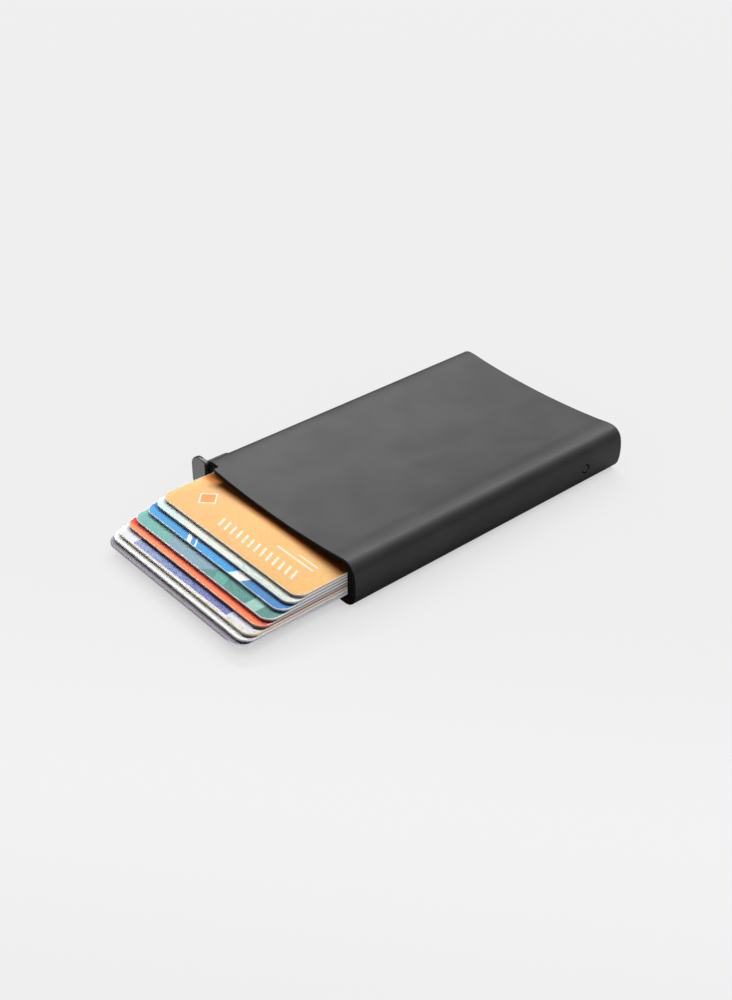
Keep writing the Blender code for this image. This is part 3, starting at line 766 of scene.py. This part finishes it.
# ------------------------------------------------------------------ thumb tab
def make_tab():
    """bent tab: a crowned flange for the thumb, a thin plate along the sleeve
    that turns off it with a small radius, and a boss into the window"""
    mid = SLEEVE_T / 2
    face = [(TAB_X[1], TAB_Z[1] - TAB_CROWN)]
    x1 = TAB_X[0] + TAB_R
    for i in range(1, 13):
        # the edge rises from the sleeve to the top of the corner's arc
        t = i / 12
        face.append((TAB_X[1] + (x1 - TAB_X[1]) * t,
                     TAB_Z[1] - TAB_CROWN * (1 - t) ** 1.8))
    face += arc(x1, TAB_Z[1] - TAB_R, TAB_R, 90, 180, 24)[1:]
    face += [(x, 2 * mid - z) for x, z in face[::-1]]
    ob = along_y("tab_body", face, TAB_Y, TAB_Y + TAB_T)
    bend = arc(PLATE_X[0] - 0.6, TAB_Y + TAB_T + 0.6, 0.6, -90, 0, 10)
    plan = [(PLATE_X[1], TAB_END), (PLATE_X[0], TAB_END)] + bend[::-1]
    plan += [(PLATE_X[0] - 0.6, TAB_Y + 0.4), (PLATE_X[1], TAB_Y + 0.4)]
    plate = along_z("plate", plan, PLATE_Z[0], PLATE_Z[1])
    outline = rounded(-1.0, TAB_END, *PLATE_Z, (PLATE_R, 0, 0, PLATE_R), 20)
    boolean(plate, along_x("cut", outline, -37.0, -27.0), "INTERSECT")
    boolean(ob, plate, "UNION")
    boss = rounded(*BOSS_Y, *BOSS_Z, (1.2,) * 4, 10)
    boolean(ob, along_x("boss", boss, PLATE_X[1] - 0.2, BOSS_X), "UNION")
    # the plate follows the sleeve's round side: its upper and lower edges turn in
    bm = bmesh.new()
    bm.from_mesh(ob.data)
    for d in (3.0, 3.5, 3.9, 4.3, 4.6):
        for z in (mid - d, mid + d):
            bmesh.ops.bisect_plane(bm, geom=bm.verts[:] + bm.edges[:] + bm.faces[:],
                                   plane_co=mm(0, 0, z), plane_no=(0, 0, 1))
    for v in bm.verts:
        x, y = v.co.x * 1000 + ORIGIN_X, v.co.y * 1000 + ORIGIN_Y
        d = abs(v.co.z * 1000 - mid)
        if -31.2 < x < -29.9 and y > TAB_Y + TAB_T - 0.001 and 3.0 < d < 4.81:
            v.co.x += 0.00055 * ((d - 3.0) / 1.8) ** 2
    bm.to_mesh(ob.data)
    bm.free()
    ob.data.materials.append(TAB_METAL)
    ob.data.materials.append(TAB_TOPS_SHADED)
    # faces that look up or down take the darker copy: painted shade
    for f in ob.data.polygons:
        if abs(f.normal.z) > 0.5:
            f.material_index = 1
    soften(ob, 0.16, 3, 34.0, 1)
    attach(ob, "slider")
    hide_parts("thumb_tab")
    xf = PLATE_X[0] - 0.03
    for tag, (y, z) in zip(("lower", "upper"), RIVET_YZ):
        dome = [(-27.6, 0.0), (-27.6, RIVET_R), (xf, RIVET_R), (xf, 1.04),
                (xf - 0.06, 1.10)]
        dome += [(xf - 0.06 - 0.30 * math.sin(math.radians(a)),
                  1.10 * math.cos(math.radians(a))) for a in range(10, 90, 8)]
        dome += [(xf - 0.36, 0.0)]
        r = turned_x("rivet_" + tag, dome, y, z, 40)
        r.data.materials.append(STEEL_X)
        r.data.shade_smooth()
        r.data.set_sharp_from_angle(angle=math.radians(40))
        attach(r, "slider")
        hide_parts("tab_rivet_" + tag)
    return ob


make_tab()


# ---------------------------------------------------------------- locking peg
def make_peg():
    """peg whose face stands just inside the wall, with a turned rim and a
    small centre mark"""
    x0, x1 = PEG_X
    prof = [(x0, 0.0), (x0, PEG_R - 0.12), (x0 + 0.12, PEG_R), (x1 - 0.14, PEG_R),
            (x1 - 0.04, PEG_R - 0.05), (x1, PEG_R - 0.14), (x1, 0.34),
            (x1 - 0.05, 0.26), (x1 - 0.20, 0.12), (x1 - 0.24, 0.0)]
    ob = turned_x("peg", prof, *PEG_YZ, 64)
    ob.data.materials.append(PEG_STEEL)
    ob.data.shade_smooth()
    ob.data.set_sharp_from_angle(angle=math.radians(60))
    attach(ob, "holder")
    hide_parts("locking_peg")


make_peg()


# ----------------------------------------------------------------- felt pads
def make_pad(tag, s):
    """pad with a fluffed surface, in the space of its plain solid"""
    nx, ny = 60, 42
    bm = bmesh.new()

    def fluff(x, y):
        return 0.05 * (math.sin(x * 7.1 + 1.7 * math.sin(y * 5.3))
                       * math.sin(y * 8.3 + 1.9 * math.sin(x * 6.1)) + 1) / 2

    def sheet(z_at):
        return [[bm.verts.new(mm(s * (PAD_X[0] + (PAD_X[1] - PAD_X[0]) * i / nx),
                                 PAD_Y[0] + (PAD_Y[1] - PAD_Y[0]) * j / ny,
                                 z_at(PAD_X[0] + (PAD_X[1] - PAD_X[0]) * i / nx,
                                      PAD_Y[0] + (PAD_Y[1] - PAD_Y[0]) * j / ny)))
                 for j in range(ny + 1)] for i in range(nx + 1)]

    def low(x, y):
        # edges of the pad are pressed thinner than its middle
        e = min(x - PAD_X[0], PAD_X[1] - x, y - PAD_Y[0], PAD_Y[1] - y)
        return PAD_FACE + 0.02 + fluff(x, y) + 0.16 * max(0.0, 1 - e / 0.6) ** 2

    lo = sheet(low)
    hi = sheet(lambda x, y: SLEEVE_T - WALL - 0.04 - dish_drop(x))
    for i in range(nx):
        for j in range(ny):
            bm.faces.new((lo[i][j], lo[i + 1][j], lo[i + 1][j + 1], lo[i][j + 1]))
            bm.faces.new((hi[i][j], hi[i][j + 1], hi[i + 1][j + 1], hi[i + 1][j]))
    for i in range(nx):
        bm.faces.new((lo[i][0], hi[i][0], hi[i + 1][0], lo[i + 1][0]))
        bm.faces.new((lo[i][ny], lo[i + 1][ny], hi[i + 1][ny], hi[i][ny]))
    for j in range(ny):
        bm.faces.new((lo[0][j], lo[0][j + 1], hi[0][j + 1], hi[0][j]))
        bm.faces.new((lo[nx][j], hi[nx][j], hi[nx][j + 1], lo[nx][j + 1]))
    ob = new_object("felt_pad_" + tag, bm)
    ob.data.materials.append(FELT)
    ob.data.shade_smooth()
    ob.data.set_sharp_from_angle(angle=math.radians(50))
    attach(ob, "holder")
    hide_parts("brake_pad_" + tag)


make_pad("left", -1)
make_pad("right", 1)

# -------------------------------------------------- pieces kept from the frame
# the inner pieces take the darker black as painted shade
for node, finish in (("side_guide", BLACK_INSIDE_SHADED), ("slider_carriage", BLACK_INSIDE_SHADED),
                     ("fan_lever", BLACK_INSIDE_SHADED), ("lever_pin", STEEL_Z)):
    ob = frame["nodes"][node]
    ob.data.materials.clear()
    ob.data.materials.append(finish)


# ---------------------------------------------------------------------- cards
PRINTS = (print_orange, print_pale, print_blue, print_teal, print_coral,
          print_violet, print_white, print_grey)
# for each card: the printed layer above the core, the one below it (darkened as painted
# shade between the cards), the core and the worn rim; for the lowest also the
# lighter colour of its right edge, painted light
LAYERS = ((tone(156, 150, 132), tone(166, 150, 138), tone(160, 146, 136), tone(240, 240, 240)),
          (tone(166, 152, 146), tone(120, 130, 130), tone(166, 150, 144), tone(236, 240, 242)),
          (tone(150, 160, 170), tone(70, 92, 98), tone(162, 166, 168), tone(238, 242, 244)),
          (tone(176, 172, 168), tone(84, 78, 76), tone(166, 162, 158), tone(238, 238, 238)),
          (tone(146, 106, 96), tone(92, 56, 50), tone(146, 116, 108), tone(216, 194, 186)),
          (tone(176, 160, 140), tone(172, 152, 136), tone(192, 178, 160), tone(238, 234, 226)),
          (tone(206, 204, 200), tone(160, 160, 158), tone(208, 206, 202), tone(240, 242, 242)),
          (tone(128, 123, 135), tone(126, 121, 133), tone(130, 125, 137), tone(136, 130, 142),
           tone(200, 203, 212)))


def make_card(i):
    """card with a punched edge: its faces break off over a tiny chamfer"""
    z0 = STACK_Z + (7 - i) * CARD_PITCH + (CARD_PITCH - CARD_T) / 2
    z1 = z0 + CARD_T
    x, y0, y1 = CARD_W / 2, CARD_Y[i], CARD_Y[i] + CARD_L

    def loop(inset, z):
        return [mm(u, v, z) for u, v in
                rounded(-x + inset, x - inset, y0 + inset, y1 - inset,
                        (CARD_R - inset,) * 4, 18)]

    c = 0.06
    ob = stack("card_%d" % (i + 1), [loop(c, z0), loop(c * 0.3, z0 + c * 0.3),
                                     loop(0, z0 + c), loop(0, z1 - c),
                                     loop(c * 0.3, z1 - c * 0.3), loop(c, z1)])
    name = CARD_NAMES[i]
    ob.data.materials.append(PRINTS[i]())
    ob.data.materials.append(card_edge("edge_%d" % (i + 1), z0, *LAYERS[i]))
    paper = (tone(232, 232, 230), tone(228, 230, 226), tone(226, 228, 232),
             tone(226, 230, 228), tone(232, 226, 222), tone(226, 222, 206),
             tone(232, 232, 232), tone(214, 148, 140))[i]
    ob.data.materials.append(card_back("back_%d" % (i + 1), i, paper,
                                       tone(34, 30, 30)))
    for f in ob.data.polygons:
        f.material_index = 0 if f.normal.z > 0.95 else 2 if f.normal.z < -0.95 else 1
    ob.data.shade_smooth()
    ob.data.set_sharp_from_angle(angle=math.radians(30))
    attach(ob, "card_%d" % (i + 1))
    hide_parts(name)


for i in range(8):
    make_card(i)

# ---------------------------------------------------------------------- floor
# White sheet. The lens sees it glowing almost to white, with thin painted
# shadows and the faint mirror image of a polished table; the piece itself gets
# the light of a matt white table plus the sheet's glow, which is painted light.
PAPER = 0.863
bm = bmesh.new()
bmesh.ops.create_grid(bm, x_segments=1, y_segments=1, size=9.0)
floor = new_object("floor", bm)
floor.location = (0, 0, -0.00005)
floor_mat = bpy.data.materials.new("floor")
floor_mat.use_nodes = True
ft = floor_mat.node_tree
ft.nodes.clear()
f_out = ft.nodes.new("ShaderNodeOutputMaterial")
plain = ft.nodes.new("ShaderNodeBsdfDiffuse")
plain.inputs["Color"].default_value = (0.80, 0.80, 0.80, 1.0)
lift = ft.nodes.new("ShaderNodeEmission")
add0 = ft.nodes.new("ShaderNodeAddShader")
ft.links.new(plain.outputs[0], add0.inputs[0])
ft.links.new(lift.outputs[0], add0.inputs[1])
thin = ft.nodes.new("ShaderNodeBsdfDiffuse")
thin.inputs["Color"].default_value = (0.035, 0.035, 0.035, 1.0)
glow = ft.nodes.new("ShaderNodeEmission")
# both carry a painted shadow: darker where the object stands close over the table, from
# ambient occlusion
near = ft.nodes.new("ShaderNodeAmbientOcclusion")
near.samples = 8
near.inputs["Distance"].default_value = 0.030


def floor_math(operation, a, b, c=0.0):
    n = ft.nodes.new("ShaderNodeMath")
    n.operation = operation
    for socket, v in zip(n.inputs, (a, b, c)):
        if isinstance(v, float):
            socket.default_value = v
        else:
            ft.links.new(v, socket)
    return n.outputs[0]


closed = floor_math("SUBTRACT", 1.0, near.outputs["AO"])
squared = floor_math("MULTIPLY", closed, closed)
ft.links.new(floor_math("MULTIPLY_ADD", squared, -0.36, 0.810), glow.inputs["Strength"])
polish = ft.nodes.new("ShaderNodeBsdfGlossy")
polish.inputs["Roughness"].default_value = 0.20
polish.inputs["Color"].default_value = (0.0016, 0.0016, 0.0016, 1.0)
add1 = ft.nodes.new("ShaderNodeAddShader")
add2 = ft.nodes.new("ShaderNodeAddShader")
ray = ft.nodes.new("ShaderNodeLightPath")
pick = ft.nodes.new("ShaderNodeMixShader")
ft.links.new(thin.outputs[0], add1.inputs[0])
ft.links.new(glow.outputs[0], add1.inputs[1])
ft.links.new(add1.outputs[0], add2.inputs[0])
ft.links.new(polish.outputs[0], add2.inputs[1])
ft.links.new(ray.outputs["Is Camera Ray"], pick.inputs[0])
ft.links.new(add0.outputs[0], pick.inputs[1])
ft.links.new(add2.outputs[0], pick.inputs[2])
# matt surfaces get the whole of this painted glow, the gloss hardly any of it
cut = floor_math("MULTIPLY", ray.outputs["Is Glossy Ray"],
                 floor_math("MULTIPLY_ADD", closed, -0.88, 0.97))
ft.links.new(floor_math("SUBTRACT", floor_math("MULTIPLY_ADD", closed, -1.0, 1.1), cut),
             lift.inputs["Strength"])
ft.links.new(pick.outputs[0], f_out.inputs["Surface"])
floor.data.materials.append(floor_mat)

# --------------------------------------------------------------------- camera
AZ, EL, ROLL = (math.radians(a) for a in (48.6962, 34.0255, 0.3852))
FOCAL_PX, LONG_SIDE_PX = 1396.9, 1000.0
fwd = Vector((-math.sin(AZ) * math.cos(EL), math.cos(AZ) * math.cos(EL), -math.sin(EL)))
level = Vector((math.cos(AZ), math.sin(AZ), 0.0))
upward = level.cross(fwd)
side_axis = math.cos(ROLL) * level + math.sin(ROLL) * upward
up_axis = -math.sin(ROLL) * level + math.cos(ROLL) * upward
cam_data = bpy.data.cameras.new("camera")
cam_data.sensor_width = 36.0
cam_data.lens = FOCAL_PX * 36.0 / LONG_SIDE_PX
cam_data.clip_start, cam_data.clip_end = 0.01, 30.0
camera = bpy.data.objects.new("camera", cam_data)
bpy.context.scene.collection.objects.link(camera)
basis = Matrix((side_axis, up_axis, -fwd)).transposed().to_4x4()
camera.matrix_world = Matrix.Translation(mm(220.544, -164.366, 200.546)) @ basis
bpy.context.scene.camera = camera

# --------------------------------------------------------------------- lights
back = Vector((-math.sin(AZ), math.cos(AZ), 0.0))
TARGET = mm(0, 35, 5)


def panel(name, at, width, height, radiance, colour=(1, 1, 1), aim=TARGET):
    """soft box: a rectangle of even brightness, aimed at a point"""
    data = bpy.data.lights.new(name, "AREA")
    data.shape = "RECTANGLE"
    data.size, data.size_y = width, height
    data.energy = radiance * math.pi * width * height
    data.color = colour
    ob = bpy.data.objects.new(name, data)
    bpy.context.scene.collection.objects.link(ob)
    ob.location = at
    ob.rotation_euler = (aim - at).to_track_quat("-Z", "Y").to_euler()
    ob.visible_camera = False
    return ob


def heading(turn, rise, far):
    """point at a distance from the target; turn is degrees to the right of
    straight behind the object, rise is degrees above the table"""
    t, r = math.radians(turn), math.radians(rise)
    flat = back * math.cos(t) + level * math.sin(t)
    return TARGET + (flat * math.cos(r) + Vector((0, 0, math.sin(r)))) * far


panel("key_panel", heading(8, 47.5, 5.0), 7.4, 0.85, 30.0)
# a reflector on the right, which only the gloss of the round edges shows
edge_panel = panel("edge_panel", heading(86, 35, 5.0), 3.6, 3.4, 1.15)
edge_panel.visible_diffuse = False

world = bpy.data.worlds.new("studio")
bpy.context.scene.world = world
world.use_nodes = True
wt = world.node_tree
sky = wt.nodes["Background"]
# pale walls up to the lamps, and a darker ceiling; the lens sees plain paper
way = wt.nodes.new("ShaderNodeTexCoord")
parts = wt.nodes.new("ShaderNodeSeparateXYZ")
fall = wt.nodes.new("ShaderNodeMapRange")
fall.interpolation_type = "SMOOTHSTEP"
seen = wt.nodes.new("ShaderNodeLightPath")
choose = wt.nodes.new("ShaderNodeMix")
wt.links.new(way.outputs["Generated"], parts.inputs[0])
wt.links.new(parts.outputs[2], fall.inputs[0])
for socket, v in zip(list(fall.inputs)[1:5], (0.20, 0.55, 0.35, 0.05)):
    socket.default_value = v
# the side of the room behind the photographer is dimmer
turned = wt.nodes.new("ShaderNodeVectorMath")
turned.operation = "DOT_PRODUCT"
turned.inputs[1].default_value = back
dim = wt.nodes.new("ShaderNodeMapRange")
dim.interpolation_type = "SMOOTHSTEP"
room = wt.nodes.new("ShaderNodeMath")
room.operation = "MULTIPLY"
for socket, v in zip(list(dim.inputs)[1:5], (-0.4, 0.5, 0.15, 1.0)):
    socket.default_value = v
wt.links.new(way.outputs["Generated"], turned.inputs[0])
wt.links.new(turned.outputs["Value"], dim.inputs[0])
wt.links.new(fall.outputs[0], room.inputs[0])
wt.links.new(dim.outputs[0], room.inputs[1])
# the gloss also sees a pale tent round the front and the left
tent_way = wt.nodes.new("ShaderNodeVectorMath")
tent_way.operation = "DOT_PRODUCT"
tent_way.inputs[1].default_value = back * 0.819 + level * 0.574
tent = wt.nodes.new("ShaderNodeMapRange")
tent.interpolation_type = "SMOOTHSTEP"
for socket, v in zip(list(tent.inputs)[1:5], (0.0, -0.45, 0.0, 2.4)):
    socket.default_value = v
rise = wt.nodes.new("ShaderNodeMapRange")
rise.interpolation_type = "SMOOTHSTEP"
for socket, v in zip(list(rise.inputs)[1:5], (0.0, 0.2, 0.3, 1.0)):
    socket.default_value = v
tent_high = wt.nodes.new("ShaderNodeMath")
tent_high.operation = "MULTIPLY"
tent_gloss = wt.nodes.new("ShaderNodeMath")
tent_gloss.operation = "MULTIPLY_ADD"
wt.links.new(way.outputs["Generated"], tent_way.inputs[0])
wt.links.new(tent_way.outputs["Value"], tent.inputs[0])
wt.links.new(parts.outputs[2], rise.inputs[0])
wt.links.new(tent.outputs[0], tent_high.inputs[0])
wt.links.new(rise.outputs[0], tent_high.inputs[1])
wt.links.new(tent_high.outputs[0], tent_gloss.inputs[0])
wt.links.new(seen.outputs["Is Glossy Ray"], tent_gloss.inputs[1])
wt.links.new(room.outputs[0], tent_gloss.inputs[2])
wt.links.new(seen.outputs["Is Camera Ray"], choose.inputs[0])
wt.links.new(tent_gloss.outputs[0], choose.inputs[2])
choose.inputs[3].default_value = PAPER
sky.inputs[0].default_value = (1.0, 1.0, 1.0, 1.0)
wt.links.new(choose.outputs[0], sky.inputs[1])

scene = bpy.context.scene
scene.view_settings.view_transform = "Standard"
scene.view_settings.look = "None"
scene.view_settings.exposure = 0.0
scene.view_settings.gamma = 1.0
